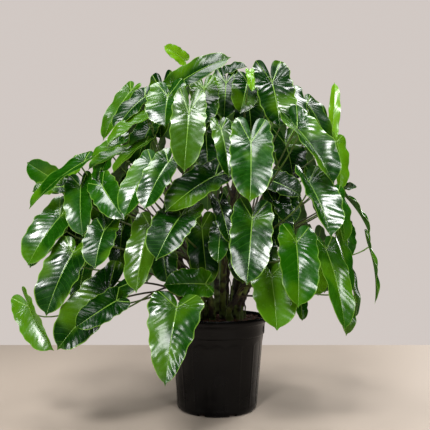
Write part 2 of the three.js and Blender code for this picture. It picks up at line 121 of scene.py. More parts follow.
def leafMaterial(name, under):
    # Waxed leaf blade: a deep green with a paler net of sunken veins and a wet, silky gloss.
    # Its lower face is paler and duller, and there the veins stand out.
    look = leafLook
    material, add, shader, own = newMaterial(name)
    # the map runs from 0 at the midrib to 1 at the margin, and from 0 at the heart to 1 at the tip
    toMargin = add("SeparateXYZ", [add("UVMap", uv_map="blade")])
    toTip = toMargin.node.outputs["Y"]
    tone, youth, lively, shadedAndDull, vein, midrib, lobeRib = (
        add("Attribute", output="Fac", attribute_name=key)
        for key in ("tone", "youth", "lively", "shadedAndDull", "vein", "midrib", "lobeRib"))
    mottle, patches, puckers = (add("TexNoise", {"Vector": own, "Scale": scale, "Detail": detail})
                                for scale, detail in look["noises"])

    # 0 on a side vein, where vein is a whole number, and 0.5 midway to the next
    fromVein = add("Math", [vein, 0.5], operation="PINGPONG")
    onVein = add("MapRange", [fromVein, 0, look["veinHalfWidth"], look["veinShare"], 0], **softStep)
    # distances in metres, against a half width that falls towards the tip
    lobeRib = add("Math", [lobeRib], operation="ABSOLUTE")
    rib = add("Math", [midrib, lobeRib], operation="MINIMUM")
    away = add("Math", [toTip], operation="ABSOLUTE")
    widths = look["midribHalfWidth"], look["midribHalfWidth"] * look["midribTip"]
    width = add("MapRange", [away, 0, 1, *widths], **softStep)
    rib = add("Math", [rib, width], operation="DIVIDE")
    onRib = add("MapRange", [rib, *look["ribEdge"]], **softStep)
    ribShare = add("Math", [onRib, look["midribShare"]], operation="MULTIPLY")
    onEdge = add("MapRange", [toMargin, look["edgeFrom"], 1, 0, look["edgeShare"]], **softStep)

    # the tone carries painted shade: leaves inside the plant and leaves that lie in shade are darker
    shade = add("Math", [mottle, look["mottled"], tone], operation="MULTIPLY_ADD")
    shade = add("MapRange", [shade, *look["shade"]], **softStep)
    # yellower patches and young leaves: partly their own colour, partly painted light shining through the
    # thin blade
    freshAndLitThrough = add("MapRange", [patches, *look["freshAndLitThrough"]], **softStep)
    freshAndLitThrough = add("Math", [youth, freshAndLitThrough], operation="MAXIMUM")
    layers = [(shade, look["mature"]), (freshAndLitThrough, look["youngAndLitThrough"]), (onVein, look["vein"]),
              (onEdge, look["edge"])]
    if under:
        pale = add("Math", [mottle, *look["pale"]], operation="MULTIPLY_ADD")
        layers.append((pale, look["underside"]))
    colour = paint(add, look["deep"], *layers, (ribShare, look["midrib"]))

    # between two side veins the blade swells, by 4 v (1 - v) of the depth with v from 0 on a vein to
    # 0.5 midway; the rib's ridge and the fine dents add to it
    depths = 4 * look["lobeCrease"], 4 * look["crease"]
    relief = add("MapRange", [toTip, *look["heart"], *depths], **softStep)
    toNext = add("Math", [1.0, fromVein], operation="SUBTRACT")
    flatter = add("MapRange", [toMargin, *look["flatter"]], **softStep)
    for factor in (fromVein, toNext, flatter, lively):
        relief = add("Math", [relief, factor], operation="MULTIPLY")
    relief = add("Math", [onRib, look["ridge"], relief], operation="MULTIPLY_ADD")
    relief = add("Math", [puckers, look["pucker"], relief], operation="MULTIPLY_ADD")
    bump = add("Bump", {"Strength": 0.8, "Distance": -1.0 if under else 1.0, "Height": relief})

    rough = look["underRoughness" if under else "roughness"]
    rough = add("MapRange", [mottle, 0.3, 0.7, *rough], **softStep)
    dull = look["gloss"] * (1 - look["dulled"])
    gloss = add("MapRange", [shadedAndDull, 0, 1, look["gloss"], dull], **softStep)
    fillInputs(shader, {"Base Color": colour, "Normal": bump, "Roughness": rough, "IOR": 1.46,
                        "Specular IOR Level": gloss})
    if not under:
        coat = add("MapRange", [shadedAndDull, 0, 1, look["coat"], 0], **softStep)
        fillInputs(shader, {"Coat Weight": coat, "Coat Roughness": look["coatRoughness"]})
    return material


def layeredMaterial(name, look):
    # Colours laid over the first, each by what a source says, on the bumps of one noise. A source
    # is a noise (scale, detail, roughness), the share of the way along a stem, or a piece's own
    # tone. With numbers after it, it goes through a smooth step: low, high, and what they become.
    material, add, shader, own = newMaterial(name)
    sources = {key: add("TexNoise", {"Vector": own, "Scale": scale, "Detail": detail, "Roughness": rough})
               for key, (scale, detail, rough) in look["noises"].items()}
    if look["own"] == "along":
        sources["along"] = add("SeparateXYZ", [add("UVMap", uv_map="stem")])
    elif look["own"] == "tone":
        sources["tone"] = add("Attribute", output="Fac", attribute_name="tone")
    layers = [(add("MapRange", [sources[source], *step], **softStep) if step else sources[source], colour)
              for source, step, colour in look["layers"]]
    source, *step = look["roughness"]
    rough = add("MapRange", [sources[source], *step], **softStep) if step else source
    source, strength, distance = look["bump"]
    bump = add("Bump", {"Strength": strength, "Distance": distance, "Height": sources[source]})
    fillInputs(shader, {"Base Color": paint(add, look["colour"], *layers), "Normal": bump,
                        "Roughness": rough, "IOR": look["ior"], "Specular IOR Level": look["gloss"]})
    return material


# green leaf stalk: smooth and fleshy, brown-olive at the cane and green at the blade
stalkLook = {
    "colour": "#33301a", "roughness": [0.42], "ior": 1.45, "gloss": 0.5, "own": "along",
    "noises": {"flecks": (130, 4, 0.5)},  # one fleck every 8 mm
    "layers": [("along", (0.25, 1, 0, 1), "#5c7d2a"), ("flecks", (0.52, 0.72, 0, 0.7), "#4b3a1e")],
    "bump": ("flecks", 0.4, 0.0004),
}

# woody cane: dark brown corky bark, paler where it is worn, with patches of green moss
caneLook = {
    "colour": "#140d06", "roughness": [0.85], "ior": 1.5, "gloss": 0.5, "own": None,
    "noises": {"grain": (90, 6, 0.7), "moss": (28, 3, 0.5)},  # a ridge every 11 mm, moss every 36 mm
    "layers": [("grain", (0.45, 0.75, 0, 0.6), "#574426"), ("moss", (0.43, 0.58, 0, 0.9), "#5a6b2a")],
    "bump": ("grain", 0.8, 0.0012),
}

# moulded polypropylene, black: a satin skin with faint cloudy scuffs and a very fine grain
potLook = {
    "colour": "#010102", "roughness": ["scuffs", 0.3, 0.8, 0.17, 0.33], "ior": 1.49, "gloss": 0.17,
    "noises": {"scuffs": (18, 5, 0.5), "grain": (900, 2, 0.5)},  # one every 56 mm, and every 1.1 mm
    "layers": [("scuffs", (0.5, 0.8, 0, 0.5), "#070708")], "bump": ("grain", 0.25, 0.0002), "own": None,
}

# composted bark: matt, fibrous, dark brown with reddish chips and damp dark patches
mixLook = {
    "colour": "#3f2414", "roughness": [0.92], "ior": 1.5, "gloss": 0.5, "own": "tone",
    "noises": {"fibre": (160, 6, 0.7)},  # one fibre every 6 mm
    "layers": [("tone", (), "#6a3518"), ("fibre", (0.40, 0.65, 0.75, 0), "#1a0f09")],
    "bump": ("fibre", 0.9, 0.002),
}


# Mesh building

def gridMesh(name, points, materials, uv=None, uvName=None, wraps=False, attributes=None, smooth=True):
    # points has the shape (copies, rows, columns, 3): each copy is a grid of four-sided faces.
    # wraps joins the last column to the first. Points that fall together are welded, which closes
    # poles, tips and the seam along a midrib.
    weld = 1e-7 if wraps else 1e-6
    copies, rows, columns = points.shape[:3]
    number = np.arange(copies * rows * columns).reshape(copies, rows, columns)
    right = np.roll(number, -1, axis=2) if wraps else number[:, :, 1:]
    left = number if wraps else number[:, :, :-1]
    corners = np.stack([left[:, :-1], right[:, :-1], right[:, 1:], left[:, 1:]], axis=-1).reshape(-1, 4)
    mesh = bpy.data.meshes.new(name)
    mesh.from_pydata(points.reshape(-1, 3), [], corners)
    if uv is not None:
        layer = mesh.uv_layers.new(name=uvName)
        layer.uv.foreach_set("vector", uv.reshape(-1, 2)[corners.ravel()].astype(np.float32).ravel())
    for key, values in (attributes or {}).items():
        values = np.broadcast_to(values, points.shape[:3]).astype(np.float32)
        mesh.attributes.new(key, "FLOAT", "POINT").data.foreach_set("value", values.ravel())
    for material in materials:
        mesh.materials.append(material)
    work = bmesh.new()
    work.from_mesh(mesh)
    bmesh.ops.remove_doubles(work, verts=work.verts, dist=weld)
    bmesh.ops.dissolve_degenerate(work, edges=work.edges, dist=weld)
    work.to_mesh(mesh)
    work.free()
    mesh.shade_smooth() if smooth else mesh.shade_flat()
    piece = bpy.data.objects.new(name, mesh)
    bpy.context.scene.collection.objects.link(piece)
    return piece


def applyModifiers(piece, sharp):
    # puts the shape that the modifiers give into the piece's own mesh, with its edges sharp where
    # they turn by more than sharp degrees
    graph = bpy.context.evaluated_depsgraph_get()
    finished = bpy.data.meshes.new_from_object(piece.evaluated_get(graph))
    piece.modifiers.clear()
    piece.data = finished
    finished.set_sharp_from_angle(angle=math.radians(sharp))


def evenly(line, count):
    # the line's points at even steps of its length
    length = np.concatenate([[0], np.cumsum(np.linalg.norm(np.diff(line, axis=0), axis=1))])
    wanted = np.linspace(0, length[-1], count)
    return np.stack([np.interp(wanted, length, axis) for axis in line.T], axis=1)


def throughPoints(points, count):
    # A centripetal Catmull-Rom line through the points, read at even steps: between two points it is
    # the cubic with the slopes that the neighbours, spaced by the roots of their distances, give it.
    given = np.asarray(points, float)
    line = np.vstack([2 * given[0] - given[1], given, 2 * given[-1] - given[-2]])
    gaps = np.sqrt(np.linalg.norm(np.diff(line, axis=0), axis=1))[:, None]
    slopes = np.diff(line, axis=0) / gaps
    chords = (line[2:] - line[:-2]) / (gaps[1:] + gaps[:-1])
    tangents = slopes[:-1] - chords + slopes[1:]
    span = gaps[1:-1]
    t = np.linspace(0, 1, 25)[:-1].reshape(-1, 1, 1)
    here, there = given[:-1], given[1:]
    leaving, arriving = tangents[:-1] * span, tangents[1:] * span
    cubic = ((2 * t**3 - 3 * t**2 + 1) * here + (t**3 - 2 * t**2 + t) * leaving
             + (3 * t**2 - 2 * t**3) * there + (t**3 - t**2) * arriving)
    return evenly(np.vstack([cubic.transpose(1, 0, 2).reshape(-1, given.shape[1]), given[-1:]]), count)


def bezier(start, first, second, end, count):
    # cubic Bezier curves from start to end, one for each row, and how far along each point is:
    # (1 - t)^3 start + 3 (1 - t)^2 t first + 3 (1 - t) t^2 second + t^3 end
    t = np.linspace(0, 1, count)[None, :, None]
    return ((1 - t)**3 * start[:, None] + 3 * (1 - t)**2 * t * first[:, None]
            + 3 * (1 - t) * t**2 * second[:, None] + t**3 * end[:, None]), t[..., 0]


def unit(vectors):
    # each vector divided by its length
    return vectors / np.linalg.norm(vectors, axis=-1, keepdims=True)


def turning(angle, axis):
    # matrices that turn columns by each angle about x, axis 0, or z, axis 2
    c, s, o, one = np.cos(angle), np.sin(angle), 0 * angle, 0 * angle + 1
    rows = [c, -s, o, s, c, o, o, o, one] if axis == 2 else [one, o, o, o, c, -s, o, s, c]
    return np.stack(rows, -1).reshape(-1, 3, 3)


def tubeGrid(paths, radii, planes, sides, rough=1):
    # Rings round each path: path + radius (cos * sideways + sin * upward), both square to the path.
    # planes are directions square to each path's plane. Each end is repeated with no radius, a hair
    # further out, so that the tube is closed flat.
    hair = 1e-5
    paths = np.concatenate([paths[:, :1], paths, paths[:, -1:]], axis=1)
    paths[:, -1] += unit(paths[:, -2] - paths[:, -3]) * hair
    paths[:, 0] -= unit(paths[:, 2] - paths[:, 1]) * hair
    radii = np.concatenate([0 * radii[:, :1], radii, 0 * radii[:, -1:]], axis=1)
    forward = unit(np.gradient(paths, axis=1))
    planes = planes[:, None, :]
    sideways = unit(planes - (planes * forward).sum(-1, keepdims=True) * forward)
    upward = np.cross(forward, sideways)
    turn = np.linspace(0, 2 * np.pi, sides, endpoint=False)
    ring = np.cos(turn)[:, None] * sideways[:, :, None] + np.sin(turn)[:, None] * upward[:, :, None]
    return paths[:, :, None] + radii[..., None, None] * ring * rough


# Leaves

bladeShape = {
    "thick": 0.0008,
    "bend": 0.06,  # the midrib's arch, as a share of its length
    "wave": 0.0026,  # how far the margin swings to each side
    "waves": 2.3,  # swings along the margin
    "lively": (0.75, 1.4),  # the calmest and the liveliest leaf's share of the waves and buckles
    "scallop": 0.045,  # how far the margin runs in and out, as a share of half the width
    "scallops": 4.3,
    "phase": (110, 70),  # radians a metre of the heart's x and z
    "ruffle": 0.0003,  # the small waves of the margin
    "ruffles": 5.6,
    "buckle": 0.0018,  # the broad uneven swellings of the whole blade
    "swell": 0.00055,  # how high the blade stands between two side veins
    "lobeSwell": 0.0012,  # and by how much more round the heart
    "bulge": 0.5,  # how far a half rises beside the midrib before it flattens out
    "ribEnd": (-0.42, 0.66),  # where the lobe's rib points to, as the outline's points
    "veins": 10,  # side veins along one half
    "uneven": 0.35,  # how far, in steps, a side vein may stand from its even place
    "slant": 0.22,  # how far a side vein runs on towards the tip, as a share of the blade's length
    "curve": 1.3,  # above 1, it bends towards the tip
    "rays": 8,  # side veins that would fill a half turn round the heart
    "raysTo": 0.14, "raysBlend": 0.16,  # where the rays end, and over what share of the blade
    "fullWidth": 0.080,  # narrower blades have smaller ruffles, swellings and buckles
    "calmTip": 0.15,  # over this last share of the blade the swellings die away
    # Half of the outline from the end of a back lobe to the tip, and the line that this half grows
    # from: along the midrib as a share of its length, across as a share of half the width.
    "margin": [(-0.47, 0.5), (-0.37, 0.84), (-0.1, 0.98), (0.22, 1), (0.5, 0.96), (0.73, 0.82),
               (0.86, 0.60), (0.93, 0.32), (0.955, 0.11), (0.975, 0.05), (1, 0)],
    "root": [(-0.47, 0.5), (-0.42, 0.22), (-0.20, 0.03), (0, 0), (0.36, 0), (0.62, 0), (0.84, 0),
             (1, 0)],
    "stations": 96, "columns": 9,
    "crowding": 1.3,  # above 1, the columns stand closer near the midrib
    "sharp": 60,  # degrees
}

leafToneAndInnerShade = {
    "tone": (-0.1, 0.6),  # the darkest and the lightest leaf outside the plant
    "noneBeyond": 0.25, "allWithin": 0.13,  # metres from the plant's axis where a leaf starts to get painted shade and lose gloss, and where it gets all of it
    "darker": 0.55,  # painted shade: how much lower the tone of a leaf inside the plant is
}


usualLeaf = {
    "rise": 20,  # how many degrees up the upper face looks
    "fold": 14,  # how many degrees each half stands up from flat
    "lobe": 1, "taper": 0,  # shares of the back lobes' length, and of the width that is lost at the tip
    "youth": 0, "dull": 0,  # shares of the young green, partly young growth and partly painted light shining through the blade, and of the gloss that is lost
    "dark": 0,  # painted shade taken off the leaf's tone, for a leaf that lies in shade
}


def leaf(heart, tip, width, look, **own):
    # The heart is where the stalk meets the blade, in millimetres, which are kept in metres. The
    # upper face looks round the plant by look degrees: 0 is the front, -90 the left and 90 the right.
    return {**usualLeaf, "heart": np.array(heart) / 1000, "tip": np.array(tip) / 1000,
            "width": width / 1000, "look": look, **own}


def leafyStem(foot, top, leaves):
    # the cane leaves the mix at foot, x and y, and ends at top; millimetres, kept in metres
    return {"foot": np.array(foot) / 1000, "top": np.array(top) / 1000, "leaves": leaves}


hiddenSide = {  # millimetres and degrees
    "count": 24, "spread": 90, "start": 0.5, "low": 375, "high": 845, "domeHeight": 560,
    "radius": 305, "depth": 12, "swing": (30, 70), "hang": (135, 105),
    "aside": 26, "asideTurn": 2.4, "width": 86, "widthStep": 5,
}


def leavesTowards(side):
    # The leaves of the side away from the front climb a dome, each one turned round from the last
    # by the golden ratio of the side's width. Those within a third of the width of side are given.
    h = hiddenSide
    golden = (math.sqrt(5) - 1) / 2
    found = []
    for i in range(h["count"]):
        share = (i + 0.5) / h["count"]
        look = 180 + h["spread"] * (2 * ((h["start"] + i * golden) % 1) - 1)
        away = np.array([math.sin(math.radians(look)), -math.cos(math.radians(look)), 0])
        aside = np.array([-away[1], away[0], 0])
        z, swing, hang = (first + (last - first) * share
                          for first, last in ((h["low"], h["high"]), h["swing"], h["hang"]))
        dome = math.sqrt(1 - ((z - h["low"]) / h["domeHeight"]) ** 2)
        heart = away * (h["radius"] * dome + h["depth"] * (i % 3 - 1)) + [0, 0, z]
        tip = heart + away * swing + aside * h["aside"] * math.sin(h["asideTurn"] * i) - [0, 0, hang]
        if abs(look - side) < h["spread"] / 3:
            found.append(leaf(heart, tip, h["width"] + h["widthStep"] * ((2 * i) % 3), look))
    return found


# a leaf that lies in shade is given painted shade, a share taken off its tone
leafyStems = {
    "crown_left": leafyStem((-18, -16), (-55, -95, 560), [
        leaf((-60, -268, 681), (-66, -328, 546), 77, 5, fold=22, youth=0.15),
        leaf((-110, -212, 735), (-113, -240, 660), 92, -15, lobe=1.2, dull=0.5),
        leaf((-101, -165, 774), (32, -190, 835), 66, 0, rise=25, lobe=0.4, dull=1),
        leaf((-145, -14, 808), (-144, -34, 678), 86, -30),
        leaf((-84, -70, 876), (-133, -90, 904), 37, 0, rise=5, fold=18, lobe=0.35, youth=0.75),
    ]),
    "upper_left": leafyStem((-40, 6), (-105, -35, 500), [
        leaf((-276, -5, 653), (-308, -20, 560), 78, -40, dull=0.6),
        leaf((-167, -150, 645), (-235, -190, 567), 46, -40, rise=25, lobe=0.5, youth=0.1, dull=1),
        leaf((-224, -90, 638), (-310, -115, 587), 59, -30, rise=45, lobe=0.4, dull=1),
        leaf((-171, -50, 705), (-198, -80, 597), 86, -30),
        leaf((-158, -150, 707), (-250, -185, 628), 56, -35,
             rise=28, fold=24, lobe=0.5, youth=0.25, dull=0.9),
        leaf((-260, -10, 675), (-325, -20, 621), 62, -35, rise=30),
        leaf((-176, -110, 767), (-240, -150, 671), 65, -25, lobe=0.6, dull=0.8),
        leaf((-224, -30, 808), (-288, -60, 670), 54, -20, lobe=0.4, youth=0.15, dull=1),
    ]),
    "far_left": leafyStem((-52, -16), (-115, -55, 430), [
        leaf((-237, -60, 440), (-230, -90, 337), 65, -20, dark=0.2),
        leaf((-361, -160, 470), (-413, -210, 360), 87, -10, lobe=0.85),
        leaf((-385, -90, 453), (-442, -120, 352), 83, -25),
        leaf((-352, -60, 485), (-334, -90, 371), 80, -25),
        leaf((-302, -55, 551), (-273, -68, 452), 73, -20),
        leaf((-317, -150, 541), (-297, -200, 423), 72, -10, lobe=0.6, fold=22, dark=0.1, dull=0.5),
        leaf((-215, -35, 561), (-238, -55, 460), 76, -30, dark=0.3),
        leaf((-308, -160, 598), (-427, -175, 487), 62, -25, rise=45, lobe=0.4, dull=0.8),
        leaf((-380, -90, 549), (-447, -105, 535), 49, -30, dull=1),
        leaf((-397, -58, 565), (-471, -80, 612), 65, -30, rise=10, lobe=0.4, dull=1),
        leaf((-372, 10, 613), (-399, 0, 537), 71, -40, youth=0.4),
    ]),
    "mid_left": leafyStem((-32, -42), (-75, -110, 440), [
        leaf((-131, -120, 418), (-114, -140, 316), 71, -10),
        leaf((-245, -225, 435), (-245, -300, 356), 71, -5, lobe=0.9),
        leaf((-257, -190, 536), (-197, -250, 458), 69, -15, lobe=0.7),
        leaf((-139, -250, 579), (-188, -300, 459), 72, -20, lobe=0.5),
        leaf((-102, -280, 574), (-143, -335, 472), 68, -15, lobe=0.7),
    ]),
    "low_left": leafyStem((-58, -38), (-110, -55, 300), [
        leaf((-430, -150, 265), (-358, -190, 174), 74, -40, fold=34, lobe=0.8, youth=0.3, dull=0.4),
        leaf((-234, -225, 303), (-328, -265, 190), 102, -10, lobe=0.95, dark=0.35, dull=0.4),
        leaf((-314, -120, 352), (-317, -140, 273), 62, -20, dark=0.4),
        leaf((-210, -260, 289), (-280, -310, 241), 59, 10, lobe=0.5, dark=0.6, dull=1),
        leaf((-318, -200, 388), (-359, -245, 256), 93, -10, lobe=0.5, dark=0.1),
    ]),
    "front_left": leafyStem((-12, -60), (-35, -105, 380), [
        leaf((-79, -325, 282), (-96, -375, 146), 114, -5, fold=18, lobe=0.4, taper=0.55),
        leaf((-26, -248, 323), (-111, -275, 323), 64, -5, lobe=0.4, dull=0.9),
        leaf((-140, -265, 444), (-159, -320, 310), 73, -20, lobe=0.5, youth=0.2),
        leaf((-74, -295, 463), (-114, -380, 374), 87, -10, lobe=0.8, dull=0.3),
        leaf((-35, -150, 445), (-21, -185, 312), 76, -5, lobe=0.6),
    ]),
    "front_centre": leafyStem((14, -38), (20, -95, 470), [
        leaf((68, -325, 455), (53, -385, 330), 83, 0, lobe=0.7, dark=0.1),
        leaf((8, -207, 438), (1, -250, 367), 48, -10, lobe=0.6),
        leaf((54, -135, 437), (59, -150, 317), 75, 0),
        leaf((4, -225, 496), (26, -265, 407), 41, 10, lobe=0.5),
        leaf((-5, -245, 552), (-104, -318, 469), 79, 5, rise=35, lobe=0.75, dark=0.6, dull=1),
        leaf((69, -290, 614), (62, -350, 484), 90, 3, dark=0.2, dull=0.4),
        leaf((8, -245, 652), (24, -285, 542), 51, 15, lobe=0.6),
    ]),
    "crown_right": leafyStem((20, -6), (45, -60, 580), [
        leaf((-28, -60, 695), (-22, -80, 592), 85, -5),
        leaf((84, -20, 772), (90, -40, 643), 93, 5),
        leaf((174, -180, 755), (176, -230, 665), 50, 25, lobe=0.6),
        leaf((123, -208, 768), (136, -238, 658), 90, 8, lobe=1.15, dull=0.5),
        leaf((-32, -105, 786), (-28, -150, 687), 72, 5),
        leaf((75, -88, 810), (55, -126, 721), 73, 10, lobe=0.6),
        leaf((23, -60, 817), (17, -100, 713), 75, 0),
        leaf((77, -158, 810), (80, -185, 755), 23, 10, lobe=0.5, youth=0.8),
        leaf((14, -10, 856), (79, -30, 873), 73, 0, rise=50, lobe=0.4),
    ]),
    "upper_right": leafyStem((46, 6), (100, -45, 500), [
        leaf((185, -300, 530), (215, -356, 417), 87, 20, lobe=0.6, fold=32),
        leaf((156, -108, 525), (173, -136, 453), 67, 5),
        leaf((140, -125, 501), (148, -145, 395), 71, 10),
        leaf((249, -70, 559), (262, -95, 455), 74, 20),
        leaf((132, -110, 561), (197, -140, 521), 67, 10, lobe=0.5),
        leaf((179, -25, 667), (194, -43, 568), 93, 15),
        leaf((293, -100, 658), (288, -130, 534), 53, 35, lobe=0.4, youth=0.35, dull=0.6),
        leaf((164, -290, 643), (225, -345, 519), 81, 20, lobe=0.8, fold=32),
        leaf((256, -60, 729), (283, -80, 622), 65, 30),
        leaf((212, -150, 738), (250, -190, 622), 65, 35, lobe=0.5),
        leaf((281, -95, 679), (293, -85, 813), 32, 10, fold=20, lobe=0.4, youth=0.8),
    ]),
    "far_right": leafyStem((60, -12), (125, 5, 400), [
        leaf((323, -50, 355), (337, -70, 227), 30, 45, fold=45, lobe=0.5),
        leaf((389, -10, 413), (402, -20, 258), 23, 60, fold=40, lobe=0.5),
        leaf((334, -5, 452), (335, -12, 374), 55, 30, lobe=0.6),
        leaf((316, -40, 540), (381, -60, 432), 43, 70, fold=30, lobe=0.4),
        leaf((310, -22, 552), (361, -28, 557), 26, 40, lobe=0.4, fold=30),
    ]),
    "front_right": leafyStem((50, -42), (105, -75, 380), [
        leaf((279, -170, 314), (281, -198, 207), 52, 30, lobe=0.5),
        leaf((232, -105, 376), (236, -125, 287), 55, 20, youth=0.5),
        leaf((230, -245, 394), (254, -295, 233), 62, 20, lobe=0.4, youth=0.05),
        leaf((266, -195, 423), (280, -222, 292), 53, 50, lobe=0.5),
        leaf((263, -205, 516), (272, -230, 409), 49, 40, lobe=0.5),
    ]),
    "low_right": leafyStem((30, -66), (70, -105, 330), [
        leaf((183, -175, 292), (186, -195, 239), 32, 20, dull=0.5),
        leaf((110, -270, 341), (115, -325, 238), 100, 5, fold=24, lobe=0.5, youth=0.3),
        leaf((105, -180, 395), (109, -200, 320), 59, 10),
        leaf((158, -300, 408), (152, -350, 285), 83, 10, lobe=0.65, dark=0.1, dull=0.6),
    ]),
    "back_left": leafyStem((-38, 38), (-95, 80, 480), leavesTowards(243)),
    "back": leafyStem((0, 52), (0, 115, 520), leavesTowards(180)),
    "back_right": leafyStem((38, 36), (90, 75, 480), leavesTowards(117)),
}


def bladeFrames(leaves):
    # each blade's directions: along from the heart to the tip, face out of its upper side, across
    get = {key: np.array([one[key] for one in leaves], float) for key in leaves[0]}
    along = get["tip"] - get["heart"]
    length = np.linalg.norm(along, axis=1)
    along = along / length[:, None]
    look, rise = np.radians(get["look"]), np.radians(get["rise"])
    face = np.stack([np.sin(look) * np.cos(rise), -np.cos(look) * np.cos(rise), np.sin(rise)], axis=1)
    face = unit(face - (face * along).sum(-1, keepdims=True) * along)
    get.update(along=along, face=face, across=np.cross(face, along), length=length)
    return get


def overGrids(f):
    # the same numbers and directions, in shapes that spread over the grids of each leaf
    return {key: values.reshape(len(values), 1, 1, 1, *values.shape[1:]) for key, values in f.items()}


def ownPhase(f):
    # where each leaf's own waves start, in radians
    return f["heart"][..., 0] * bladeShape["phase"][0] + f["heart"][..., 2] * bladeShape["phase"][1]


def liveliness(f):
    # from the calmest to the liveliest, by a fast sine of the leaf's own phase
    calm, wild = bladeShape["lively"]
    return calm + (wild - calm) * (0.5 + 0.5 * np.sin(37 * ownPhase(f)))


def veinNumbers(f, place, across):
    # Counts the side veins, which lie at whole numbers. Along the midrib they bend towards the tip,
    # place - slant * across^curve plus a slow sine. Round the heart they are rays at even steps of
    # the angle. A smooth step blends the two, and is given too.
    shape = bladeShape
    slow = shape["uneven"] * np.sin(11 * place + 3 * ownPhase(f))
    ribs = (place - shape["slant"] * across**shape["curve"]) * shape["veins"] + slow
    out, along = across * f["width"] / 2, place * f["length"]
    rays = shape["rays"] * (0.35 - np.arctan2(out, along) / np.pi)
    blend = np.clip((shape["raysTo"] - place) / shape["raysBlend"], 0, 1)
    blend = blend * blend * (3 - 2 * blend)
    return ribs * (1 - blend) + rays * blend, blend


def ribDistances(f, place, across):
    # The distance to the midrib, and round the heart the one to the straight rib of the lobe,
    # out * cos(a) - along * sin(a), stretched so that the material draws that rib thinner.
    half = f["width"] / 2
    along = np.where(place < 0, place * f["lobe"], place) * f["length"]
    out = across * half
    end = bladeShape["ribEnd"]
    angle = np.arctan2(end[1] * half, end[0] * f["lobe"] * f["length"])
    toLobe = (out * np.cos(angle) - along * np.sin(angle)) * leafLook["lobeRib"]
    return out, np.where(place < 0.04, toLobe, 1.0)  # a metre away, which is nowhere near


def bladePoints(f, place, across, side):
    # A point of each blade: heart + along * place + across * out * cos(fold) + face * height. Out
    # is a share of half the width, which narrows by the taper and is scalloped at the margin. The
    # height adds up the midrib's arch; the fold's rise, (1 + bulge) s - bulge s^2 at the share s;
    # the margin's swing and ruffles; a swelling between two side veins, 0.5 - 0.5 cos(2 pi vein),
    # which dies away at the midrib, the margin and the tip; and a broad buckle. The sines start at
    # multiples of the leaf's own phase. f is spread over the grids of place, across and side.
    shape = bladeShape
    length, width, fold = f["length"], f["width"], np.radians(f["fold"])
    along = np.where(place < 0, place * f["lobe"], place)
    arch = shape["bend"] * length * np.where(along < 0, 2 * along, 4 * along * (1 - along))
    half = width / 2 * (1 - f["taper"] * np.maximum(along, 0))
    phase = ownPhase(f) + side
    turn = 2 * np.pi * along
    scallop = shape["scallop"] * across**3 * np.sin(shape["scallops"] * turn + 1.3 * phase)
    out = across * half * (1 + scallop)
    lively = liveliness(f)
    swing = lively * shape["wave"] * across**2 * np.sin(shape["waves"] * turn + phase)
    ruffle = shape["ruffle"] * across**3 * np.sin(shape["ruffles"] * turn + 2.3 * phase)
    vein, nearHeart = veinNumbers(f, place, across)
    swell = (shape["swell"] + shape["lobeSwell"] * nearHeart) * (0.5 - 0.5 * np.cos(2 * np.pi * vein))
    calm = np.clip((1 - place) / shape["calmTip"], 0, 1)
    swell = swell * np.minimum(5 * across, 1) * (1 - across**5) * calm
    swell = lively * swell * (0.7 + 0.3 * np.sin(4.3 * along + 2 * phase))
    buckle = np.sin(5.1 * along + 1.7 * phase) * np.sin(2.6 * across + 3 * along + phase)
    buckle = lively * shape["buckle"] * buckle * np.minimum(3 * across, 1)
    small = np.minimum(width / shape["fullWidth"], 1.2)**1.5
    rise = half * np.sin(fold) * ((1 + shape["bulge"]) * across - shape["bulge"] * across**2)
    height = arch + rise + swing + small * (ruffle + swell + buckle)
    return (f["heart"] + (along * length)[..., None] * f["along"]
            + (side * out * np.cos(fold))[..., None] * f["across"] + height[..., None] * f["face"])


def bladeOutline(count):
    # One smooth line from the heart round the lobe to the tip, cut at the lobe's end and read at
    # even steps. The root reaches the heart after as large a share of the stations as of its listed
    # points, and the rest run evenly down the midrib.
    margin, root = bladeShape["margin"], bladeShape["root"]
    inner = root[:root.index((0, 0)) + 1]
    whole = throughPoints(inner[::-1] + margin[1:], 2001)
    cut = np.argmin(np.linalg.norm(whole - inner[0], axis=1))
    atHeart = round((len(inner) - 1) / (len(root) - 1) * count)
    midrib = np.linspace([0, 0], [1, 0], count - atHeart + 1)
    return evenly(whole[cut:], count), np.concatenate([evenly(whole[cut::-1], atHeart), midrib[1:]])


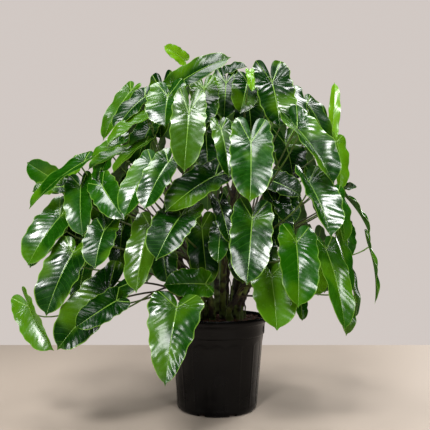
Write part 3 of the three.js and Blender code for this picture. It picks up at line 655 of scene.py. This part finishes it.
def makeBlades(name, leaves, upper, lower):
    # Both halves of every blade, as grids: a point is the root's plus a share of the way to the
    # margin's, and the shares crowd near the midrib. Solidify thickens them to both sides.
    f = bladeFrames(leaves)
    wide = overGrids(f)
    count, columns = bladeShape["stations"], bladeShape["columns"]
    margin, root = bladeOutline(count)
    shares = np.linspace(0, 1, columns) ** bladeShape["crowding"]
    flat = root[:, None] + (margin - root)[:, None] * shares[:, None]
    flat = np.broadcast_to(flat, (len(leaves), 2, count, columns, 2))
    place, across = flat[..., 0], flat[..., 1]
    points = bladePoints(wide, place, across, np.array([-1.0, 1.0]).reshape(1, 2, 1, 1))
    uv = np.stack([np.broadcast_to(shares, place.shape), place], axis=-1)
    maps = {"vein": veinNumbers(wide, place, across)[0]}
    maps["midrib"], maps["lobeRib"] = (np.array(np.broadcast_to(rib, place.shape))
                                       for rib in ribDistances(wide, place, across))
    for grid in (points, uv, *maps.values()):  # the right half runs the other way, so both face up
        grid[:, 1] = grid[:, 1, :, ::-1].copy()
    attributes = {key: grid.reshape(-1, count, columns) for key, grid in maps.items()}

    # leaves that hang far inside the plant get painted shade, a lower tone, and are duller
    within = leafToneAndInnerShade["noneBeyond"] - np.hypot(f["heart"][:, 0], f["heart"][:, 1])
    shadedAndDull = np.clip(within / (leafToneAndInnerShade["noneBeyond"] - leafToneAndInnerShade["allWithin"]), 0, 1)
    tone = rng.uniform(*leafToneAndInnerShade["tone"], len(leaves)) - leafToneAndInnerShade["darker"] * shadedAndDull - f["dark"]
    own = {"tone": tone, "youth": f["youth"], "lively": liveliness(wide),
           "shadedAndDull": np.maximum(shadedAndDull, f["dull"])}
    attributes.update({key: np.repeat(values, 2)[:, None, None] for key, values in own.items()})

    piece = gridMesh(name, points.reshape(-1, count, columns, 3), [upper, lower],
                     uv.reshape(-1, count, columns, 2), "blade", attributes=attributes)
    wall = piece.modifiers.new("thickness", "SOLIDIFY")
    wall.thickness, wall.offset, wall.material_offset = bladeShape["thick"], 0, 1
    applyModifiers(piece, bladeShape["sharp"])  # a crisp margin, and faces that shade flat up to it
    return piece


stalkShape = {
    "radius": 0.0029, "tipRadius": 0.0014, "sides": 8, "stations": 22,
    "sheath": (0.0016, 0, 0.10),  # how much thicker, where along the stalk, and over what length of it
    "knee": (0.0007, 0.97, 0.03),  # the same for the knee at the blade
    "leave": {"reach": 0.36, "out": 0.45, "up": 0.85},  # how a stalk starts, the reach as a share
    "arrive": {"reach": 0.34, "face": 0.5, "up": 0.6, "along": 0.25},
    "joins": 0.07, "sunk": 0.0004,  # on the blade from the heart, as a share, and into it in metres
}


def makeStalks(name, leaves, feet, material):
    # Each stalk is a cubic Bezier curve from its foot on the cane to its blade, as a tube that
    # narrows evenly, plus a bell, exp(-((t - middle) / length)^2), for its sheath and for its knee.
    f = bladeFrames(leaves)
    shape, leave, arrive = stalkShape, stalkShape["leave"], stalkShape["arrive"]
    up = np.array([0.0, 0, 1])
    reach = np.linalg.norm(f["heart"] - feet, axis=1, keepdims=True)
    joins = bladePoints(overGrids(f), shape["joins"], 0.0, 1)[:, 0, 0, 0]
    end = joins - f["face"] * shape["sunk"]
    away = unit((f["heart"] - feet) * [1, 1, 0])
    first = feet + unit(away * leave["out"] + up * leave["up"]) * reach * leave["reach"]
    back = f["face"] * arrive["face"] + up * arrive["up"] + f["along"] * arrive["along"]
    second = end - unit(back) * reach * arrive["reach"]
    paths, t = bezier(feet, first, second, end, shape["stations"])
    radii = shape["radius"] + (shape["tipRadius"] - shape["radius"]) * t
    for more, middle, length in (shape["sheath"], shape["knee"]):
        radii = radii + more * np.exp(-((t - middle) / length)**2)
    planes = unit(np.cross(first - feet, end - feet))
    points = tubeGrid(paths, np.broadcast_to(radii, paths.shape[:2]), planes, shape["sides"])
    along = np.concatenate([[0], t[0], [1]])
    uv = np.stack(np.broadcast_arrays(along[:, None], np.linspace(0, 1, shape["sides"])), axis=-1)
    uv = np.broadcast_to(uv, (*points.shape[:3], 2))
    return gridMesh(name, points, [material], uv, "stem", wraps=True)


caneShape = {
    "radius": 0.009, "tipRadius": 0.0055, "sides": 14, "stations": 90,
    "mixTop": 0.219, "sunk": 0.060, "upright": 0.030,  # the mix's top, and the cane below and above it
    "elbow": (0.45, 0.55),  # as shares of the way out and of the way up
    "leavesFrom": 0.5,  # stalks grow from here to the top, as a share of the cane
    "scarEvery": 0.021, "scarHeight": 0.0016, "scarWidth": 0.12,  # the width as a share of the step
    "rough": (0.93, 1.07),
    "readAt": 401,  # points that stalks and roots choose from
}


def caneLine(stem, count):
    # up from the mix, over at the elbow and out to the top
    shape = caneShape
    foot, base = np.append(stem["foot"], shape["mixTop"]), np.array([0, 0, 1.0])
    elbow = foot + (stem["top"] - foot) * [shape["elbow"][0], shape["elbow"][0], shape["elbow"][1]]
    return throughPoints([foot - base * shape["sunk"], foot, foot + base * shape["upright"], elbow,
                          stem["top"]], count)


def makeCane(name, stem, material):
    # A tube whose radius narrows upwards, with a low ridge at every leaf scar: the radius gets a
    # narrow bell on a saw of even steps along the cane, and a little seeded roughness.
    shape = caneShape
    path = caneLine(stem, shape["stations"])
    length = np.linalg.norm(np.diff(path, axis=0), axis=1).sum()
    t = np.linspace(0, 1, shape["stations"])
    saw = (t * length / shape["scarEvery"]) % 1
    radii = shape["radius"] + (shape["tipRadius"] - shape["radius"]) * t
    radii = radii + shape["scarHeight"] * np.exp(-((saw - 0.5) / shape["scarWidth"])**2)
    lean = stem["top"][:2] - stem["foot"]
    plane = unit(np.array([[-lean[1], lean[0], 0.0]]))
    rough = rng.uniform(*shape["rough"], (1, shape["stations"] + 2, shape["sides"], 1))
    points = tubeGrid(path[None], radii[None], plane, shape["sides"], rough)
    return gridMesh(name, points, [material], wraps=True)


rootShape = {
    "aCane": 11, "radius": (0.0008, 0.0022), "narrows": 0.35, "sides": 6, "stations": 26,
    "from": (0.14, 0.46),  # where a root leaves the cane, as a share of it
    "out": (0.004, 0.014), "lift": 0.006,  # how far it bows out, and up at first
    "foot": (0.7, 1.3), "bow": (1.2, 0.3),  # shares of out: where it ends, and the curve's middle points
    "into": 0.012,  # how deep it goes into the mix
    "waver": 0.0012, "wavers": 17,  # metres to each side, and radians along the root
}


def makeRoots(name, stem, material):
    # Aerial roots: each leaves the cane at a seeded height, bows out and runs down into the mix.
    # A cubic Bezier curve with its middle points out by the bow, plus a sine in x and in y.
    shape = rootShape
    count = shape["aCane"]
    read = caneShape["readAt"]
    start = caneLine(stem, read)[(read * rng.uniform(*shape["from"], count)).astype(int)]
    turn = rng.uniform(0, 2 * np.pi, count)
    away = np.stack([np.cos(turn), np.sin(turn), 0 * turn], axis=1)
    bow = rng.uniform(*shape["out"], (count, 1))
    drop = start[:, 2:] - caneShape["mixTop"] + shape["into"]
    end = start + away * bow * rng.uniform(*shape["foot"], (count, 1)) - [0, 0, 1] * drop
    first = start + away * bow * shape["bow"][0] + [0, 0, shape["lift"]]
    second = end + away * bow * shape["bow"][1] + [0, 0, 0.5] * drop
    paths, t = bezier(start, first, second, end, shape["stations"])
    waver = np.sin(shape["wavers"] * t[..., None] + turn[:, None, None] * [1, 2, 0])
    paths = paths + shape["waver"] * waver * [1, 1, 0]
    radii = rng.uniform(*shape["radius"], (count, 1)) * (1 - shape["narrows"] * t)
    planes = np.cross(away, [0, 0, 1.0])
    return gridMesh(name, tubeGrid(paths, radii, planes, shape["sides"]), [material], wraps=True)


# Pot

potShape = {
    "height": 0.228, "rim": 0.127, "rimRound": 0.0026, "foot": 0.101,
    "wallTop": 0.183, "wallRadius": 0.1186,
    "collar": 0.0046,  # how far the collar under the rim stands out from the wall
    "wall": 0.0024, "floor": 0.003, "around": 432,
    "flutes": 9, "fluteDepth": 0.0014, "fluteFrom": (0.020, 0.040),  # fading in, and out
    "fluteTo": (0.161, 0.177),
    "panels": 18, "panelDepth": 0.0008, "panelFoot": 0.014, "panelTop": 0.172, "panelArch": 0.010,
    "panelSide": (0.84, 0.94), "panelEdge": 0.003,  # the smooth step at the sides, and at foot and top
    "notches": 8, "notchWidth": 0.018, "notchHeight": 0.007, "notchFrom": 0.086, "notchTo": 0.112,
    "notchRound": 6, "sharp": 40,
}


def wallAt(z):
    # the wall's outer radius grows evenly from the foot to its top
    p = potShape
    return p["foot"] + (p["wallRadius"] - p["foot"]) * z / p["wallTop"]


def potProfile():
    # radius and height round the wall's section, from the middle of the foot over the rim and back
    # to the middle of the floor inside, and how many of the points are outside
    p = potShape
    top, collar = p["wallRadius"], p["wallRadius"] + p["collar"]
    body = [(wallAt(z), z) for z in np.linspace(0.012, p["wallTop"], 70)]
    rim = [(p["rim"] - p["rimRound"] + p["rimRound"] * math.cos(a), z + p["rimRound"] * math.sin(a))
           for z, a in [(0.2156, -1.2), (0.2156, -0.6), (0.2156, 0), (0.2254, 0), (0.2254, 0.5),
                        (0.2254, 1.1), (0.2254, 1.57)]]
    outside = [
        (0, 0), (0.05, 0), (0.088, 0), (0.092, 0), (0.0965, 0.0006), (0.0990, 0.0020), (0.1006, 0.0042),
        (wallAt(0.007), 0.007), *body,
        (top + 0.0018, 0.1838), (top + 0.0029, 0.1858), (top + 0.0031, 0.1885), (top + 0.0034, 0.1950),
        (collar - 0.0008, 0.2040), (collar - 0.0006, 0.2060), (collar, 0.2085),
        (collar + 0.0008, 0.2118), *rim,
    ]
    inside = [
        (p["rim"] - 0.0045, p["height"] - 0.0004), (p["rim"] - 0.0056, 0.2262),
        (collar - p["wall"], 0.2060),
        (top - p["wall"], p["wallTop"]), (wallAt(0.008) - p["wall"], 0.008),
        (wallAt(0) - p["wall"] - 0.004, p["floor"]), (0.05, p["floor"]), (0, p["floor"]),
    ]
    return np.array(outside + inside), len(outside)


def between(values, low, high):
    # 0 below low, 1 above high and even between them; with low above high it falls
    return np.clip((values - low) / (high - low), 0, 1)


def notchCutters(material):
    # Rounded slots through the foot: the superellipse |x|^n + |y|^n = 1 drawn upright, from below
    # the foot to the notch's top, and turned round the axis.
    p = potShape
    u, v = np.meshgrid(np.linspace(0, 2 * np.pi, 24, endpoint=False), [-1.0, 1.0])
    power = 2 / p["notchRound"]
    x = np.sign(np.cos(u)) * np.abs(np.cos(u))**power * (p["notchTo"] - p["notchFrom"]) / 2
    y = np.sign(np.sin(u)) * np.abs(np.sin(u))**power * p["notchWidth"] / 2
    ring = np.stack([x + (p["notchTo"] + p["notchFrom"]) / 2, y, v * p["notchHeight"]], axis=-1)
    ends = ring.mean(axis=1, keepdims=True) * np.ones_like(ring)
    slot = np.concatenate([ends[:1], ring, ends[1:]])
    at = 2 * np.pi * (np.arange(p["notches"]) + 0.5) / p["notches"]
    return gridMesh("notch_tool", slot @ turning(-at, 2)[:, None], [material], wraps=True)


def makePot(material):
    # The section carried round the axis. Where there are flutes the outer wall sinks by half their
    # depth times 1 - cos(flutes * turn), fading in above the foot and out below the ledge. Shallow
    # panels with arched tops sink a little more, by a smooth step at their sides, foot and top.
    # Notches are then cut through the foot.
    p = potShape
    profile, outerCount = potProfile()
    turn = np.linspace(0, 2 * np.pi, p["around"], endpoint=False)
    radius = np.broadcast_to(profile[:, :1], (len(profile), p["around"])).copy()
    height = np.broadcast_to(profile[:, 1:], radius.shape)
    outer = np.arange(len(profile))[:, None] < outerCount
    fade = between(height, *p["fluteFrom"]) * between(height, *p["fluteTo"][::-1]) * outer
    radius -= p["fluteDepth"] * 0.5 * (1 - np.cos(turn * p["flutes"])) * fade
    side = np.abs((turn * p["panels"] / (2 * np.pi)) % 1 - 0.5) * 2
    foot, edge, arch = p["panelFoot"], p["panelEdge"], p["panelTop"] - p["panelArch"] * side**2
    inside = (between(side, *p["panelSide"][::-1]) * between(height, foot, foot + edge)
              * between(height, arch, arch - edge) * outer)
    radius -= p["panelDepth"] * inside**2 * (3 - 2 * inside)
    points = np.stack([radius * np.cos(turn), radius * np.sin(turn), height], axis=-1)
    piece = gridMesh("nursery_pot", points[None, :, ::-1], [material], wraps=True)
    tool = notchCutters(material)
    cut = piece.modifiers.new("notches", "BOOLEAN")
    cut.operation, cut.object, cut.solver = "DIFFERENCE", tool, "EXACT"
    applyModifiers(piece, p["sharp"])
    bpy.data.objects.remove(tool)
    return piece


# Potting mix

mixShape = {
    "top": 0.219, "edge": 0.1206, "edgeHeight": 0.2155, "rise": 0.004,  # heaped by rise in the middle
    "bumps": 0.003,  # and rough by a few waves: radians a metre in x and in y, and the share of bumps
    "waves": [(90, 110, 0.5), (210, 170, 0.3), (420, 510, 0.2), (900, 760, 0.12)],
    "chips": 460, "chipSize": (0.011, 0.007, 0.0035), "chipsWithin": 0.112,
    "chipShare": (0.45, 1.25),  # of that size
    "chipCorner": (0.7, 1.25), "chipSquare": 0.7,  # how corners are pushed; below 1 is squarer than round
    "chipTilt": 0.35, "chipLift": (-0.001, 0.0025),  # radians, and metres over the mix
}


def makeMix(material):
    # The bulk that fills the pot: a section carried round the axis, with a top that is heaped and
    # rough, by products of sines in x and y added up.
    m = mixShape
    side = [(0, 0.0033), (0.05, 0.0033), (0.094, 0.0033), (wallAt(0.008) - 0.0027, 0.008),
            (wallAt(0.1) - 0.0027, 0.1), (0.1159, 0.183), (0.1205, 0.206), (m["edge"], m["edgeHeight"])]
    top = [(m["edge"] * (1 - r), m["top"] - 0.002 + m["rise"] * r) for r in np.linspace(0, 1, 34)]
    profile = np.array(side + top)
    turn = np.linspace(0, 2 * np.pi, 120, endpoint=False)
    x, y = profile[:, :1] * np.cos(turn), profile[:, :1] * np.sin(turn)
    loose = np.clip((m["edge"] - np.hypot(x, y)) / 0.01, 0, 1) * (profile[:, 1:] > 0.21)
    rough = sum(np.sin(x * a + 1.7 * k) * np.cos(y * b + k) * share
                for k, (a, b, share) in enumerate(m["waves"]))
    points = np.stack([x, y, profile[:, 1:] + loose * m["bumps"] * rough], axis=-1)
    return gridMesh("bark_mix", points[None], [material], wraps=True, attributes={"tone": 0.25})


def makeChips(material):
    # Bark chips: squared-off ellipsoids in rings and columns, with corners pushed about at random,
    # turned round, tilted and laid on the mix.
    m = mixShape
    count, rings, columns = m["chips"], 5, 7
    down = np.linspace(0, np.pi, rings)[:, None]
    turn = np.linspace(0, 2 * np.pi, columns, endpoint=False)
    upright = np.cos(down) * np.ones(columns)
    ball = np.stack([np.sin(down) * np.cos(turn), np.sin(down) * np.sin(turn), upright], -1)
    ball = np.sign(ball) * np.abs(ball)**m["chipSquare"]
    push = rng.uniform(*m["chipCorner"], (count, rings, columns, 1))
    push[:, (0, -1)] = push[:, (0, -1), :1]
    size = np.array(m["chipSize"]) * rng.uniform(*m["chipShare"], (count, 3))
    chips = ball * push * size[:, None, None] / 2
    yaw, tilt = rng.uniform(0, 2 * np.pi, count), rng.normal(0, m["chipTilt"], count)
    chips = np.einsum("kij,krcj->krci", turning(yaw, 2) @ turning(tilt, 0), chips)
    out = m["chipsWithin"] * np.sqrt(rng.uniform(0, 1, count))
    around = rng.uniform(0, 2 * np.pi, count)
    height = m["top"] + m["rise"] * (1 - out / 0.12) + rng.uniform(*m["chipLift"], count)
    chips += np.stack([out * np.cos(around), out * np.sin(around), height], -1)[:, None, None]
    tone = rng.uniform(0, 1, count)[:, None, None]
    return gridMesh("bark_chips", chips[:, ::-1], [material], wraps=True, attributes={"tone": tone},
                    smooth=False)


# The plant

def carry(piece, node):
    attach(piece, "root")
    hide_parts(node)


upperFace = leafMaterial("waxed_leaf_upper_face", False)
lowerFace = leafMaterial("waxed_leaf_lower_face", True)
fleshy = layeredMaterial("fleshy_leaf_stalk", stalkLook)
corky = layeredMaterial("corky_mossy_cane", caneLook)

for name, stem in leafyStems.items():
    leaves = stem["leaves"]
    low, read = caneShape["leavesFrom"], caneShape["readAt"]
    shares = low + (1 - low) * (np.arange(len(leaves)) + 0.5) / len(leaves)
    feet = caneLine(stem, read)[np.round(shares * (read - 1)).astype(int)]
    for piece in (makeBlades("blades_" + name, leaves, upperFace, lowerFace),
                  makeStalks("stalks_" + name, leaves, feet, fleshy),
                  makeCane("cane_" + name, stem, corky), makeRoots("roots_" + name, stem, corky)):
        carry(piece, "leafy_stem_" + name)
print("leafy stems:", len(leafyStems))

carry(makePot(layeredMaterial("moulded_polypropylene", potLook)), "pot")
bark = layeredMaterial("composted_bark", mixLook)
for piece in (makeMix(bark), makeChips(bark)):
    carry(piece, "potting_mix")
print("pot and mix made")


# Floor, light and camera

studio = {
    "floor": "#b5a799", "air": "#d9d0cb", "airStrength": 0.03, "backdropStrength": 0.92,
    "floorFrom": (-4.0, -3.0), "floorTo": (4.0, 0.82),
    "lights": [  # name, place, size and watts
        ("key", (-0.75, -0.20, 3.1), (1.3, 0.9), 45), ("top", (0.85, -0.10, 3.0), (0.9, 0.7), 39),
        ("fill", (1.1, -2.3, 1.35), (0.6, 0.8), 21), ("window", (-0.45, -2.05, 2.2), (0.75, 0.55), 58),
        ("rear", (1.6, 1.5, 1.1), (0.5, 1.1), 22), ("side", (-1.75, -1.25, 0.7), (0.22, 0.9), 11),
    ],
    "aim": (0.0, 0.0, 0.5),
    "cameraAt": (-0.005, -1.3, 0.3915), "pitch": 4.18, "lens": 41.65,
}


def addFloor():
    # Pale matt studio floor: a painted board.
    material, _, shader, _ = newMaterial("matt_painted_floor")
    fillInputs(shader, {"Base Color": studio["floor"], "Roughness": 0.7})
    (left, front), (right, back) = studio["floorFrom"], studio["floorTo"]
    x, y = np.meshgrid(np.linspace(left, right, 3), np.linspace(front, back, 3))
    floor = gridMesh("studio_floor", np.stack([x, y, 0 * x], -1)[None], [material])


def putIn(name, data, at, turn):
    # puts a light or a camera into the scene
    thing = bpy.data.objects.new(name, data)
    thing.location, thing.rotation_euler = at, turn
    bpy.context.scene.collection.objects.link(thing)
    return thing


def addLight(name, at, size, watts):
    data = bpy.data.lights.new(name, "AREA")
    data.shape, data.size, data.size_y, data.energy = "RECTANGLE", *size, watts
    putIn(name, data, at, (Vector(studio["aim"]) - Vector(at)).to_track_quat("-Z", "Y").to_euler())


def addCamera():
    data = bpy.data.cameras.new("camera")
    data.lens, data.sensor_width, data.sensor_fit = studio["lens"], 36, "HORIZONTAL"
    turn = math.radians(90 + studio["pitch"]), 0, 0
    bpy.context.scene.camera = putIn("camera", data, studio["cameraAt"], turn)


def addBackdrop():
    # brighter to the camera than it is as a light, as a lit wall far behind would be
    world = bpy.data.worlds.new("studio")
    world.use_nodes = True
    tree = world.node_tree
    air = tree.nodes["Background"]
    fillInputs(air, {"Color": studio["air"], "Strength": studio["airStrength"]})
    wall = addNode(tree, "Background", {"Color": studio["air"], "Strength": studio["backdropStrength"]})
    seen = addNode(tree, "LightPath", output="Is Camera Ray")
    both = addNode(tree, "MixShader", [seen, air.outputs[0], wall])
    fillInputs(tree.nodes["World Output"], {"Surface": both})
    bpy.context.scene.world = world


addFloor()
for light in studio["lights"]:
    addLight(*light)
addBackdrop()
bpy.context.scene.view_settings.view_transform = "Standard"
addCamera()
print("studio set")
